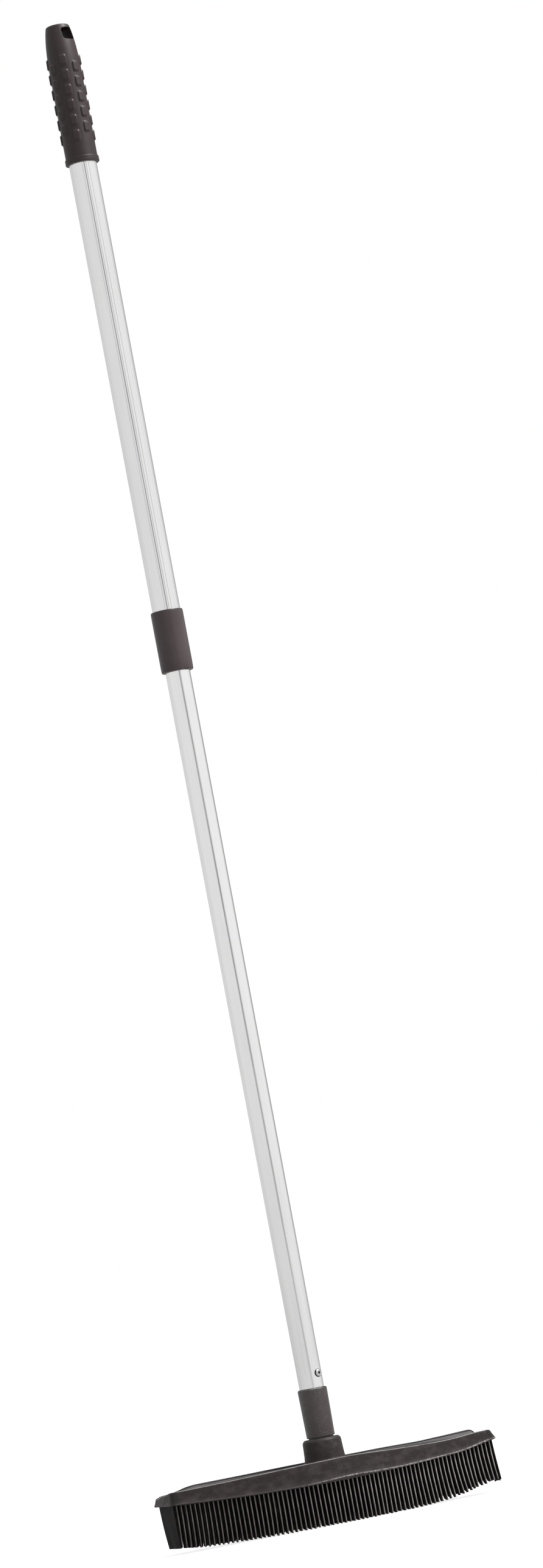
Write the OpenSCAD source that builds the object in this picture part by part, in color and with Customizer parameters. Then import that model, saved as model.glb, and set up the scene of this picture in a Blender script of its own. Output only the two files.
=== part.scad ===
// Rubber broom for carpets and floors: a bowed head with rubber comb strips under it and a
// squeegee lip along its back edge, on a two-part telescopic pole with a twist lock.
// +Z runs up the pole, X along the head, -Y is the bowed front. z = 0 is the plane of the tips.

/* [Head] */
// Length of the head along its back edge
head_len = 303; // [250:1:370]
// How much shorter the front corners make each end
end_flare = 2; // [0:0.5:5]
// From the pole axis forward to the middle of the bowed front
front_reach = 40; // [36:0.5:50]
// From the pole axis forward to the front corners
corner_reach = 21; // [18:0.5:30]
// From the pole axis back to the straight back edge
back_reach = 30; // [28:0.5:40]
// Half width of the rounded middle of the bowed front
bow_round = 34; // [10:1:60]
// Height of the lower rim of the cover, mid length
rim_mid = 36.8; // [30:0.2:48]
// How far the lower rim rises towards the ends
rim_rise = 6; // [0:0.5:8]
// Height of the cover's front band, mid length
band_h = 21.2; // [18:0.2:28]
// How far the top edge drops towards the ends
crest_drop = 4; // [0:0.5:5]
// Wall of the rubber cover
cover_wall = 3; // [2:0.25:4]
// Depth of the rim below the hard core
rim_lip = 4; // [3:0.5:5]
// Radius of the corners of the head in plan
corner_r = 4; // [1:0.5:8]

/* [Boss and thread] */
// Height of the boss above the cover
boss_h = 17; // [15:0.5:26]
// Rubber wall of the boss round the socket
boss_wall = 2.7; // [2.2:0.1:5]
// How much wider the boss is at its base
boss_flare = 2; // [0:0.5:4]
// Wall of the core's socket tube outside the thread
socket_wall = 3.05; // [2:0.05:4]
// Root diameter of the thread on the adapter
thread_root_d = 18; // [15:0.5:22]
// Height of the thread ridges
thread_h = 1.2; // [0.6:0.1:1.5]
// Pitch of the thread ridges
thread_pitch = 4; // [3:0.5:5]
// Number of thread ridges
thread_turns = 4; // [3:1:5]
// Radial clearance of the thread
thread_gap = 0.25; // [0.15:0.05:0.4]

/* [Squeegee] */
// Thickness of the blade at its root
blade_root = 4; // [3:0.25:5]
// Thickness of the blade at its lip
blade_tip = 1.6; // [1:0.1:2.5]
// Depth of the blade's root in the cover
blade_seat = 5; // [3:0.5:6]
// Height of the lip above its seat
blade_h = 4; // [3:0.5:9]
// Lean of the blade to the back
blade_lean = 20; // [0:1:30]

/* [Comb strips] */
// Number of comb strips from front to back
row_count = 6; // [6]
// Distance from tooth to tooth
tooth_pitch = 3.9; // [3:0.1:6]
// Width of a tooth along the head
tooth_w = 1.4; // [0.8:0.1:2]
// Thickness of a tooth from front to back
tooth_t = 4; // [2:0.25:5]
// Height of the rail that carries the teeth
rail_h = 3; // [2:0.25:3.5]
// How far the tips rise at the ends of the head
tip_rise = 8; // [0:0.5:10]
// Half length of the level middle of the tips
tip_level = 50; // [20:1:90]
// Thickness of the two end blades
end_blade_t = 1.4; // [1:0.1:2]
// How much the back edge of an end blade slants in
end_blade_slant = 9; // [0:0.5:14]

/* [Pole] */
// Wall of the upper tube
outer_wall = 0.9; // [0.8:0.05:1.1]
// Number of flutes round the upper tube
flutes = 30; // [12:1:36]
// Depth of a flute
flute_depth = 0.3; // [0.1:0.05:0.4]
// Radius of a flute's round bottom
flute_r = 0.5; // [0.4:0.1:0.8]
// Outer diameter of the lower tube
inner_od = 22; // [18:0.1:27]
// Wall of the lower tube
inner_wall = 0.8; // [0.6:0.05:1.2]
// Height of the adapter sleeve between boss and tube
sleeve_h = 44; // [30:0.5:60]
// How far the adapter sleeve stands out past the lower tube
sleeve_step = 2; // [1.2:0.1:3]
// Length of the lower tube that shows
lower_shown = 642; // [520:1:780]
// Length of the upper tube that shows
upper_shown = 409; // [340:1:600]

/* [Collar and lock] */
// Height of the collar
collar_h = 55; // [50:0.5:66]
// Wall of the collar round the upper tube
collar_wall = 1.9; // [1.5:0.1:3]
// Thickness of the collar's bottom lip
collar_lip = 3; // [2:0.25:5]
// Running clearance round the lower tube
run_gap = 0.06; // [0.02:0.01:0.1]
// Wall of the bush between the tubes
bush_wall = 0.54; // [0.4:0.02:1]
// Length of the bush
bush_len = 38; // [20:1:44]
// Offset of the lock's eccentric journal
cam_offset = 0.5; // [0.3:0.05:0.8]
// Diameter of the eccentric journal
journal_d = 12; // [9:0.5:14]
// Height of the eccentric ring
cam_ring_h = 14; // [10:0.5:20]
// Clearance of the eccentric ring in the upper tube
cam_gap = 0.5; // [0.45:0.05:0.6]

/* [Grip] */
// Length of the grip
grip_len = 127; // [110:1:155]
// Wall of the grip round the upper tube
grip_wall = 1.9; // [1.5:0.1:4]
// How far the rim at the grip's mouth stands out
grip_rim_out = 0.9; // [0.7:0.1:2]
// Height of the rim at the grip's mouth
grip_rim_h = 5; // [3:0.5:8]
// Material between the end of the tube and the end of the grip
grip_end = 28; // [26:0.5:32]
// Diameter of the hanging hole
hang_d = 11; // [8:0.5:12]
// Material above the hanging hole
hang_top = 4; // [3:0.5:8]
// Direction of the hanging hole round the pole
hang_turn = -55; // [-180:5:180]
// How far below the grip's end it starts to narrow
grip_shoulder = 18; // [14:0.5:24]
// Number of columns of pads round the grip
pad_columns = 8; // [6:2:10]
// Direction of the first column of pads round the pole
pad_turn = 70; // [0:5:180]
// Number of pads in the long columns
pad_rows = 6; // [3:1:6]
// How far below the grip's end the first pads start
pad_start = 30; // [24:0.5:36]
// Length of a pad
pad_len = 9; // [6:0.5:12]
// Width of a pad
pad_w = 5.4; // [3:0.2:7]
// How far a pad stands proud
pad_proud = 1.1; // [0.6:0.1:1.6]
// Distance from pad to pad along a column
pad_pitch = 13.6; // [12:0.2:18]

/* [Rivet] */
// Height of the rivet above the sleeve
rivet_up = 12.4; // [8:0.2:20]
// Direction of the rivet round the pole
rivet_turn = -62; // [-180:1:180]
// Diameter of the rivet's shank
rivet_d = 4; // [3:0.1:5]
// Diameter of the rivet's head
rivet_head_d = 7.4; // [6:0.2:9]
// Height of the rivet's head
rivet_head_h = 1.5; // [1:0.1:2]
// Length of the rivet's shank inside the tube's skin
rivet_len = 6; // [5:0.5:7]

/* [Hidden] */
$fn = 64;
eps = 0.02;
// glue line between the rubber strips and the core
seat_gap = 0.03;
big = 1000;

half_len = head_len / 2;
front_half = half_len - end_flare;
// slope of the straight parts of the bowed front
bow_slope = (front_reach - corner_reach) / (sqrt(pow(front_half, 2) + pow(bow_round, 2)) - bow_round);
steps = 16;

crest_mid = rim_mid + band_h;
boss_top = crest_mid + boss_h;
socket_d = thread_root_d + 2 * (thread_h + thread_gap + socket_wall);
boss_d = socket_d + 2 * boss_wall;
sleeve_d = inner_od + 2 * sleeve_step;
outer_id = inner_od + 2 * (run_gap + bush_wall);
outer_od = outer_id + 2 * outer_wall;
collar_d = outer_od + 2 * collar_wall;
grip_d = outer_od + 2 * grip_wall;
inner_id = inner_od - 2 * inner_wall;
sleeve_top = boss_top + sleeve_h;
collar_z = sleeve_top + lower_shown;
collar_top = collar_z + collar_h;
grip_z = collar_top + upper_shown;
grip_top = grip_z + grip_len;
tube_z = collar_z + collar_lip + 2;
tube_top = grip_top - grip_end;
bush_top = tube_z + bush_len;
flange_h = 3;
ring_z = bush_top + 0.5;
ring_lift = 0.3;
inner_top = ring_z - ring_lift - flange_h;
washer_z = ring_z + cam_ring_h + ring_lift;
washer_h = 2;
core_top = washer_z + washer_h + ring_lift;
journal_top_d = 8;
screw_d = 4;
screw_len = 12;
plug_len = 22;
cam_ring_d = outer_id - 2 * cam_gap;

// y of the bowed front at x: a hyperbola, straight towards the ends and round in the middle
function front_y(x) = -front_reach + bow_slope * (sqrt(x * x + bow_round * bow_round) - bow_round);
function part_way(x) = abs(x) / half_len;
function rim_z(x) = rim_mid + rim_rise * pow(part_way(x), 2);
function crest_z(x) = crest_mid - crest_drop * pow(part_way(x), 2);
function tip_z(x) = tip_rise * pow(max(0, abs(x) - tip_level) / (half_len - tip_level), 2);
// x values from end to end of a stretch of half length h
function span(h) = [for (i = [-steps:steps]) h * i / steps];

// Plan of the head, drawn in by d all round
module plan(d = 0) {
    back = back_reach - d;
    offset(r = corner_r, $fn = 24) offset(delta = -corner_r)
        polygon(concat(
            [[half_len - d, back], [-half_len + d, back]],
            [for (x = span(front_half - d)) [x, front_y(x) + d]]));
}

// Everything between a lower and an upper curve that both run along x
module between(low, high, h = half_len) {
    xs = span(h + 5);
    rotate([90, 0, 0]) linear_extrude(2 * big, center = true)
        polygon(concat([for (i = [0:2 * steps]) [xs[i], low[i]]],
            [for (i = [2 * steps:-1:0]) [xs[i], high[i]]]));
}

module slab(d, low, high) {
    intersection() {
        linear_extrude(boss_top) plan(d);
        between(low, high);
    }
}

wide = span(half_len + 5);
rim_line = [for (x = wide) rim_z(x)];
core_line = [for (x = wide) rim_z(x) + rim_lip];
inner_crest_line = [for (x = wide) crest_z(x) - cover_wall];
crest_line = [for (x = wide) crest_z(x)];

// Boss profile: flared foot, slight draft and a rounded top edge
module boss() {
    foot = boss_d / 2 + boss_flare / 2;
    low = crest_mid - cover_wall;
    edge = 2;
    rotate_extrude() {
        polygon([[0, low], [foot + 4, low], [foot + 4, crest_mid - 0.6], [foot + 1, crest_mid + 0.6],
            [foot, crest_mid + 3], [boss_d / 2, boss_top - edge], [boss_d / 2 - edge, boss_top - edge],
            [0, boss_top - edge]]);
        polygon([[0, boss_top - edge - eps], [boss_d / 2 - edge, boss_top - edge - eps],
            [boss_d / 2 - edge, boss_top], [0, boss_top]]);
        translate([boss_d / 2 - edge, boss_top - edge]) circle(edge, $fn = 32);
    }
}

module head_cover() {
    color([0.17, 0.16, 0.16])
    difference() {
        union() {
            slab(0, rim_line, crest_line);
            boss();
        }
        slab(cover_wall, [for (x = wide) 0], inner_crest_line);
        translate([0, 0, rim_mid]) cylinder(d = socket_d, h = big);
        blade_bar();
    }
}

// Ridges of the thread, drawn out by gap
module thread_shape(gap, low, high) {
    root = thread_root_d / 2 + gap;
    rotate_extrude() {
        translate([0, low]) square([root, high - low]);
        for (i = [0:thread_turns - 1]) {
            z = boss_top - thread_pitch * (i + 1);
            polygon([[0, z - thread_pitch * 0.4 - gap], [root, z - thread_pitch * 0.4 - gap],
                [root + thread_h, z - thread_pitch * 0.12 - gap],
                [root + thread_h, z + thread_pitch * 0.12 + gap],
                [root, z + thread_pitch * 0.4 + gap], [0, z + thread_pitch * 0.4 + gap]]);
        }
    }
}
stub_low = boss_top - thread_pitch * (thread_turns + 1) - 1;

module head_core() {
    color([0.12, 0.12, 0.13])
    difference() {
        union() {
            slab(cover_wall, core_line, inner_crest_line);
            translate([0, 0, rim_mid + rim_lip])
                cylinder(d = socket_d, h = boss_top - rim_mid - rim_lip);
        }
        thread_shape(thread_gap, stub_low - 0.5, boss_top + 1);
        blade_bar();
    }
}

// The blade's section: a root block and a lip that thins upwards, leaning back
blade_z = crest_mid - crest_drop - 1;
blade_y = back_reach - cover_wall - blade_root / 2 - 1;
// the seat ends above the rails of the comb strips
seat_room = (blade_z - rim_mid - rim_rise - rim_lip - 0.3 - blade_root / 2 * sin(blade_lean))
    / cos(blade_lean);
seat_depth = min(blade_seat, seat_room);
module blade_bar() {
    r = blade_root / 2;
    t = blade_tip / 2;
    reach = blade_h / cos(blade_lean) + blade_tip;
    translate([0, blade_y, blade_z]) rotate([-blade_lean, 0, 0]) rotate([90, 0, 90])
        linear_extrude(head_len - 2 * cover_wall, center = true)
            polygon([[-r, -seat_depth], [r, -seat_depth], [r, 0], [t, reach], [-t, reach], [-r, 0]]);
}
module squeegee_blade() {
    color([0.22, 0.18, 0.19])
    intersection() {
        blade_bar();
        translate([-big / 2, -big / 2, 0]) cube([big, big, blade_z + blade_h]);
    }
}

// Plan of a comb strip: a band that follows the bow less and less towards the back
row_front = cover_wall + tooth_t / 2 + 0.4;
row_back = back_reach - cover_wall - tooth_t / 2 - 0.4;
row_half = front_half - cover_wall - end_blade_t - 1.4;
function row_y(k, x) = let (f = front_y(x) + row_front, s = (k - 1) / (row_count - 1))
    f + (row_back - f) * s;
module strip_plan(k) {
    xs = span(row_half);
    polygon(concat([for (x = xs) [x, row_y(k, x) - tooth_t / 2]],
        [for (i = [2 * steps:-1:0]) [xs[i], row_y(k, xs[i]) + tooth_t / 2]]));
}

// Comb k seen from the front: a rail on top and teeth down to the tips. Every second comb has one
// tooth less, which puts its teeth between those of its neighbours
module comb_profile(k) {
    n = floor((2 * row_half - tooth_w) / tooth_pitch) - (k + 1) % 2;
    x0 = -n * tooth_pitch / 2;
    xs = span(row_half);
    polygon(concat(
        [for (i = [0:n]) each let (x = x0 + i * tooth_pitch, top = rim_z(x) + rim_lip - rail_h) [
            [x - tooth_w / 2, top], [x - tooth_w / 2, tip_z(x)],
            [x + tooth_w / 2, tip_z(x)], [x + tooth_w / 2, top]]],
        [for (i = [2 * steps:-1:0]) [xs[i], rim_z(xs[i]) + rim_lip - seat_gap]]));
}
module bristle_row(k) {
    color([0.2, 0.19, 0.19])
    intersection() {
        linear_extrude(boss_top) strip_plan(k);
        rotate([90, 0, 0]) linear_extrude(4 * front_reach, center = true) comb_profile(k);
    }
}
module bristle_row_1() { bristle_row(1); }
module bristle_row_2() { bristle_row(2); }
module bristle_row_3() { bristle_row(3); }
module bristle_row_4() { bristle_row(4); }
module bristle_row_5() { bristle_row(5); }
module bristle_row_6() { bristle_row(6); }

// One blade across each end of the head, narrower at its tip
module end_blades() {
    x = front_half - cover_wall - end_blade_t - 0.4;
    front = front_y(x) + cover_wall + 1.5;
    back = back_reach - cover_wall - 0.5;
    color([0.18, 0.16, 0.16])
    for (side = [-1, 1]) translate([side * (x + end_blade_t / 2), 0, 0])
        rotate([90, 0, 90]) linear_extrude(end_blade_t, center = true)
            polygon([[front, tip_z(x)], [back - end_blade_slant, tip_z(x)],
                [back, rim_z(x)], [back, rim_z(x) + rim_lip - seat_gap],
                [front, rim_z(x) + rim_lip - seat_gap]]);
}

module thread_adapter() {
    color([0.2, 0.18, 0.18])
    difference() {
        union() {
            thread_shape(0, stub_low, boss_top + 1);
            translate([0, 0, boss_top + 0.6]) cylinder(d1 = sleeve_d - 1, d2 = sleeve_d, h = sleeve_h - 1.6);
            translate([0, 0, sleeve_top - 1 - eps]) cylinder(d1 = sleeve_d, d2 = sleeve_d - 1, h = 1 + eps);
            translate([0, 0, boss_top]) cylinder(d = sleeve_d - 3, h = 1);
            translate([0, 0, sleeve_top - 1]) cylinder(d = inner_id, h = plug_len + 1);
        }
        rivet_hole();
        // core-out from below, blind under the tube
        translate([0, 0, stub_low - 1]) cylinder(d = 11, h = sleeve_top - 8 - stub_low);
    }
}

rivet_z = sleeve_top + rivet_up;
module at_rivet() {
    translate([0, 0, rivet_z]) rotate([0, 90, rivet_turn]) children();
}
module rivet_hole() {
    at_rivet() translate([0, 0, inner_od / 2 - rivet_len - 1]) cylinder(d = rivet_d, h = rivet_len + 3);
}
module rivet() {
    color([0.75, 0.75, 0.77])
    at_rivet() difference() {
        union() {
            translate([0, 0, inner_od / 2 - rivet_len]) cylinder(d = rivet_d, h = rivet_len + 0.5);
            translate([0, 0, inner_od / 2 + 0.1])
                cylinder(d1 = rivet_head_d, d2 = rivet_head_d - 2, h = rivet_head_h);
        }
        translate([0, 0, inner_od / 2 - rivet_len - 1]) cylinder(d = rivet_d / 2, h = 20);
    }
}
module rivet_mandrel() {
    color([0.5, 0.5, 0.52])
    at_rivet() translate([0, 0, inner_od / 2 - rivet_len]) cylinder(d = rivet_d / 2, h = rivet_len + 0.6);
}

module inner_tube() {
    color([0.85, 0.85, 0.86])
    difference() {
        translate([0, 0, sleeve_top]) cylinder(d = inner_od, h = inner_top - sleeve_top);
        translate([0, 0, sleeve_top - 1]) cylinder(d = inner_id, h = big);
        rivet_hole();
    }
}

// Plug in the top of the lower tube, with a flange, an eccentric journal and a round neck
module cam_core() {
    color([0.9, 0.9, 0.88])
    difference() {
        union() {
            translate([0, 0, inner_top - plug_len]) cylinder(d = inner_id, h = plug_len);
            translate([0, 0, inner_top]) cylinder(d = inner_od - 0.2, h = flange_h);
            translate([cam_offset, 0, inner_top]) cylinder(d = journal_d, h = washer_z - inner_top);
            translate([0, 0, inner_top]) cylinder(d = journal_top_d, h = core_top - inner_top);
        }
        translate([0, 0, core_top - screw_len]) cylinder(d = screw_d, h = screw_len + 1);
    }
}
module cam_ring() {
    color([0.25, 0.45, 0.7])
    translate([0, 0, ring_z]) difference() {
        cylinder(d = cam_ring_d, h = cam_ring_h);
        translate([cam_offset, 0, -1]) cylinder(d = journal_d + 2 * run_gap, h = cam_ring_h + 2);
        translate([-cam_ring_d, -0.75, -1]) cube([cam_ring_d, 1.5, cam_ring_h + 2]);
    }
}
module guide_washer() {
    color([0.7, 0.7, 0.72])
    translate([0, 0, washer_z]) difference() {
        cylinder(d = outer_id - 2 * run_gap, h = washer_h);
        translate([0, 0, -1]) cylinder(d = journal_top_d + 2 * run_gap, h = washer_h + 2);
    }
}
module cam_screw() {
    color([0.6, 0.6, 0.62])
    union() {
        translate([0, 0, core_top]) difference() {
            cylinder(d = journal_top_d + 3, h = 2.4);
            translate([-5, -0.5, 1.4]) cube([10, 1, 2]);
        }
        translate([0, 0, core_top - screw_len + 1]) cylinder(d = screw_d, h = screw_len - 1 + eps);
    }
}

module collar() {
    edge = 1.2;
    r = collar_d / 2;
    color([0.25, 0.23, 0.23])
    difference() {
        translate([0, 0, collar_z]) rotate_extrude() {
            translate([0, edge]) square([r, collar_h - 2 * edge]);
            square([r - edge, collar_h]);
            for (z = [edge, collar_h - edge]) translate([r - edge, z]) circle(edge, $fn = 32);
        }
        translate([0, 0, collar_z - 1]) cylinder(d = inner_od + 0.6, h = collar_h);
        translate([0, 0, collar_z + collar_lip]) cylinder(d = outer_od, h = collar_h);
        // notch in the mouth
        rotate([0, 0, -80]) translate([inner_od / 2, -2, collar_z - 1]) cube([6, 4, 2]);
    }
}
module collar_bush() {
    color([0.9, 0.9, 0.9])
    difference() {
        union() {
            translate([0, 0, tube_z]) cylinder(d = outer_id, h = bush_len);
            translate([0, 0, collar_z + collar_lip])
                cylinder(d = outer_od, h = tube_z - collar_z - collar_lip);
        }
        translate([0, 0, collar_z]) cylinder(d = inner_od + 2 * run_gap, h = big);
    }
}

module outer_tube() {
    color([0.82, 0.82, 0.84])
    translate([0, 0, tube_z]) linear_extrude(tube_top - tube_z) difference() {
        circle(d = outer_od);
        circle(d = outer_id);
        for (i = [0:flutes - 1]) rotate(i * 360 / flutes)
            translate([outer_od / 2 + flute_r, 0]) circle(flute_r + flute_depth, $fn = 24);
    }
}

// Long and short columns of pads alternate, half a pitch apart
module grip_pads() {
    for (c = [0:pad_columns - 1]) rotate([0, 0, c * 360 / pad_columns + pad_turn])
        for (i = [0:pad_rows - 1 - c % 2]) {
            z = grip_top - pad_start - pad_len - (i + (c % 2) / 2) * pad_pitch;
            translate([grip_d / 2 - 2, -pad_w / 2, z]) cube([2 + pad_proud, pad_w, pad_len]);
        }
}

module grip() {
    r = grip_d / 2;
    rim = r + grip_rim_out;
    edge = 0.6;
    hole_z = grip_top - hang_top - hang_d / 2;
    color([0.22, 0.19, 0.19])
    difference() {
        union() {
            rotate_extrude() polygon([[0, grip_z], [rim - edge, grip_z], [rim, grip_z + edge],
                [rim, grip_z + grip_rim_h - edge], [rim - edge, grip_z + grip_rim_h],
                [r, grip_z + grip_rim_h], [r, grip_top - pad_start], [r - 0.4, grip_top - grip_shoulder],
                [r - 2, grip_top - grip_shoulder * 0.4], [r - 4, grip_top - grip_shoulder * 0.1],
                [r - 5.5, grip_top - edge], [r - 8, grip_top], [0, grip_top]]);
            grip_pads();
        }
        translate([0, 0, grip_z - 1]) cylinder(d = outer_od, h = tube_top - grip_z + 1);
        translate([0, 0, hole_z]) rotate([0, 90, hang_turn])
            cylinder(d = hang_d, h = 3 * r, center = true);
    }
}

grip();
outer_tube();
collar();
collar_bush();
inner_tube();
cam_core();
cam_ring();
guide_washer();
cam_screw();
thread_adapter();
rivet();
rivet_mandrel();
head_core();
head_cover();
squeegee_blade();
bristle_row_1();
bristle_row_2();
bristle_row_3();
bristle_row_4();
bristle_row_5();
bristle_row_6();
end_blades();
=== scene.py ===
"""Rubber broom with a squeegee lip on a telescopic pole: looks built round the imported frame.

Shapes are worked out in millimetres and put into meshes in metres. +Z runs up the pole, X along
the head, -Y is the bowed front with the comb teeth, +Y the back with the squeegee lip.
"""

import bmesh
import bpy
import numpy as np
from mathutils import Matrix, Vector


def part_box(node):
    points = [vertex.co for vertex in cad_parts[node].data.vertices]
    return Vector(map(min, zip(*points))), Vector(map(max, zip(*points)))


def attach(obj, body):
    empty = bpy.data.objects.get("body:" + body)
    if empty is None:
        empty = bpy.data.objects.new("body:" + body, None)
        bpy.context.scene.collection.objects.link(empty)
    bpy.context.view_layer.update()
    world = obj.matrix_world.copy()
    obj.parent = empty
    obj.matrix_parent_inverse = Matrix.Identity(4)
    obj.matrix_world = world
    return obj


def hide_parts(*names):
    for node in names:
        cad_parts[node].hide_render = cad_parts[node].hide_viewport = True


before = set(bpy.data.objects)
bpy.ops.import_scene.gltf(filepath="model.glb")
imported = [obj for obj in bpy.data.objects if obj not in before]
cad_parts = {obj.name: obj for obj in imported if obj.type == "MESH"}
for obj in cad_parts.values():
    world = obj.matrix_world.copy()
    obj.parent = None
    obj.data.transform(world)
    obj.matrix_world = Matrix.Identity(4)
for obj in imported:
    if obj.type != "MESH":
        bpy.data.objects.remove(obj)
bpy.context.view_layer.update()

MM = 0.001
TAU = 2 * np.pi


def span_mm(node):
    """Lowest and highest corner of a CAD node, in millimetres."""
    low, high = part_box(node)
    return np.array(low) / MM, np.array(high) / MM


# ---------------------------------------------------------------- sizes taken from the frame
cover_low, cover_high = span_mm("head_cover")
grip_low, grip_high = span_mm("grip")
collar_low, collar_high = span_mm("collar")
outer_low, outer_high = span_mm("outer_tube")
inner_low, inner_high = span_mm("inner_tube")
adapter_low, adapter_high = span_mm("thread_adapter")
lip_low, lip_high = span_mm("squeegee_blade")
blade_low, blade_high = span_mm("end_blades")
mandrel_low, mandrel_high = span_mm("rivet_mandrel")

HEAD_HALF = cover_high[0]
HEAD_BACK = cover_high[1]
HEAD_FRONT = -cover_low[1]
BOSS_TOP = cover_high[2]
SLEEVE_TOP = inner_low[2]
OUTER_R = outer_high[0]
INNER_R = inner_high[0]
OUTER_WALL, INNER_WALL = 0.9, 0.8
SEAT_GAP = 0.02                   # between the upper tube and what is pressed on it

# ---------------------------------------------------------------- sizes of the head's form
FRONT_HALF = HEAD_HALF - 2.0      # half length along the front corners
CORNER_REACH = 21.0               # pole axis to the front corners
BOW_ROUND = 34.0                  # half width of the rounded middle of the bow
CORNER_R = 4.5                    # plan radius of the corners
RIM_MID, RIM_RISE = 36.8, 6.0     # lower rim of the band, and its rise at the ends
PULL_UP, PULL_FROM, PULL_TO = 3.0, 112, 152   # further rise of the rim at the right end
BEAD_LOW, BEAD_CLIMB, BEAD_AT, BEAD_REACH = 0.8, 2.0, 8.0, 30.0   # moulding flash above the rim
FLARE_LEFT, FLARE_RIGHT = 1.0, 2.4   # how far the rim stands outwards at the ends
FLARE_FROM_LEFT, FLARE_FROM_RIGHT, FLARE_TO = 124, 118, 151   # distances from the middle
DECK_MID = 57.0                   # top of the cover round the boss
TIP_RISE, TIP_LEVEL = 8.0, 50.0   # rise of the tips past the level middle
END_R = (3.5, 6.5)                # rounding of the cover's top at its left and right end
BACK_FALL, FALL_FROM = 2.6, -16.0   # how much lower the cover's back edge lies, and from what y
ALONG, ACROSS = 260, 44           # points along the head and across it
BOW_SLOPE = (HEAD_FRONT - CORNER_REACH) / (np.hypot(FRONT_HALF, BOW_ROUND) - BOW_ROUND)

# ---------------------------------------------------------------- comb strips
ROWS = 6
TOOTH_PITCH, TOOTH_W, TOOTH_T = 3.9, 1.15, 4.8
ROW_SHIFTS = (-0.15, 0.46, 0.81, -1.64, 0.85, -0.2)   # sideways, to close each other's slits
RAIL_H, RIM_LIP = 3.0, 4.0
ROW_END_GAP, RAIL_END, TOOTH_SINK = 2.8, 1.4, 0.4   # past the strip, past its teeth, in its rail
ROW_HALF = blade_high[0] - ROW_END_GAP
ROW_SPREAD = 1.021                # the soft strips stand a little wider than their slots
PANEL_OUT = 2.6                   # the end panels lie against the cover's end walls
ROW_FRONT_GAP = 5.4
ROW_BACK = HEAD_BACK - ROW_FRONT_GAP
PANEL_HALF_T = 0.7

# ---------------------------------------------------------------- hanging hole of the grip
HOLE_TURN, HOLE_HALF_W, HOLE_HALF_H = np.radians(-60), 6.5, 5.8
HOLE_LAND = 3.4                   # plastic left above the hole


def front_y(x):
    """y of the bowed front: a hyperbola, straight towards the ends and round in the middle."""
    return -HEAD_FRONT + BOW_SLOPE * (np.hypot(x, BOW_ROUND) - BOW_ROUND)


def eased(x, places, heights):
    """Height read off a table, with its corners eased by averaging over 12 mm."""
    return np.mean([np.interp(x + shift, places, heights) for shift in (-6, -3, 0, 3, 6)], axis=0)


def rim_z(x):
    """Lower rim of the band: rises with the square of the distance from the middle, and the
    rubber is pulled up a little more at the right end."""
    rise = RIM_RISE * (np.abs(x) / HEAD_HALF) ** 2
    return RIM_MID + rise + PULL_UP * smooth(x, PULL_FROM, PULL_TO)


def crest_z(x):
    """Front top edge of the band: highest at the boss, sagging towards the ends."""
    return eased(x, [-151, -125, -90, -50, -30, 10, 30, 50, 75, 100, 116, 132, 151],
                 [54.0, 54.2, 54.8, 55.7, 56.3, 56.8, 56.0, 54.7, 53.7, 53.0, 53.4, 54.7, 54.8])


def edge_z(x, y):
    """Visible top edge of the cover: lower at the back, most at the left end, with an arc of
    radius END_R over the last END_R at each end."""
    r = np.where(x < 0, *END_R)
    into = np.clip(np.abs(x) - (HEAD_HALF - r), 0, r * 0.97)
    back = np.clip((y - FALL_FROM) / (HEAD_BACK - FALL_FROM), 0, 1)
    fall = back * (BACK_FALL + 1.2 * smooth(-x, 128, 151))
    return crest_z(x) - fall - (r - np.sqrt(r ** 2 - into ** 2))


def tip_z(x):
    """Tips of the teeth: level in the middle, rising with the square of the distance, less at
    the left end and more at the worn right one."""
    past = np.clip(np.abs(x) - TIP_LEVEL, 0, None) / (HEAD_HALF - TIP_LEVEL)
    return TIP_RISE * past ** 2 + eased(x, [-150, -130, -112, -90, 92, 112, 130, 146],
                                        [-1.6, -2.0, -1.2, 0, 0, 1.2, 3.0, 2.2])


def smooth(value, low, high):
    """Smooth step from 0 at low to 1 at high."""
    t = np.clip((value - low) / (high - low), 0, 1)
    return t * t * (3 - 2 * t)


# ---------------------------------------------------------------- meshes from arrays
def grid_faces(rows, cols, wrap_rows=False, wrap_cols=False, start=0):
    """Quads between neighbouring points of a rows x cols grid, optionally joined end to end."""
    r = np.arange(rows if wrap_rows else rows - 1)
    c = np.arange(cols if wrap_cols else cols - 1)
    i, j = np.meshgrid(r, c, indexing="ij")
    i2, j2 = (i + 1) % rows, (j + 1) % cols
    quads = np.stack([i * cols + j, i * cols + j2, i2 * cols + j2, i2 * cols + j], axis=-1)
    return quads.reshape(-1, 4) + start


def build(name, points, faces, tone=None, sharp_deg=38.0):
    """A welded mesh object from points in millimetres and quads, with outward normals."""
    mesh = bpy.data.meshes.new(name)
    mesh.from_pydata((np.asarray(points).reshape(-1, 3) * MM).tolist(), [], faces.tolist())
    if tone is not None:
        layer = mesh.attributes.new("tone", "FLOAT", "POINT")
        layer.data.foreach_set("value", np.asarray(tone, float).ravel())
    mesh.update()
    work = bmesh.new()
    work.from_mesh(mesh)
    bmesh.ops.remove_doubles(work, verts=work.verts, dist=1e-7)
    bmesh.ops.dissolve_degenerate(work, edges=work.edges, dist=1e-8)
    bmesh.ops.recalc_face_normals(work, faces=work.faces)
    work.to_mesh(mesh)
    work.free()
    mesh.shade_smooth()
    mesh.set_sharp_from_angle(angle=np.radians(sharp_deg))
    piece = bpy.data.objects.new(name, mesh)
    bpy.context.scene.collection.objects.link(piece)
    return piece


def fit(piece, body, slot, material, *nodes):
    """Gives a piece its finish, the body it rides on and the CAD nodes it stands for."""
    piece.data.materials.clear()
    piece.data.materials.append(material)
    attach(piece, body)
    if nodes:
        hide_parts(*nodes)
    return piece


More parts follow.
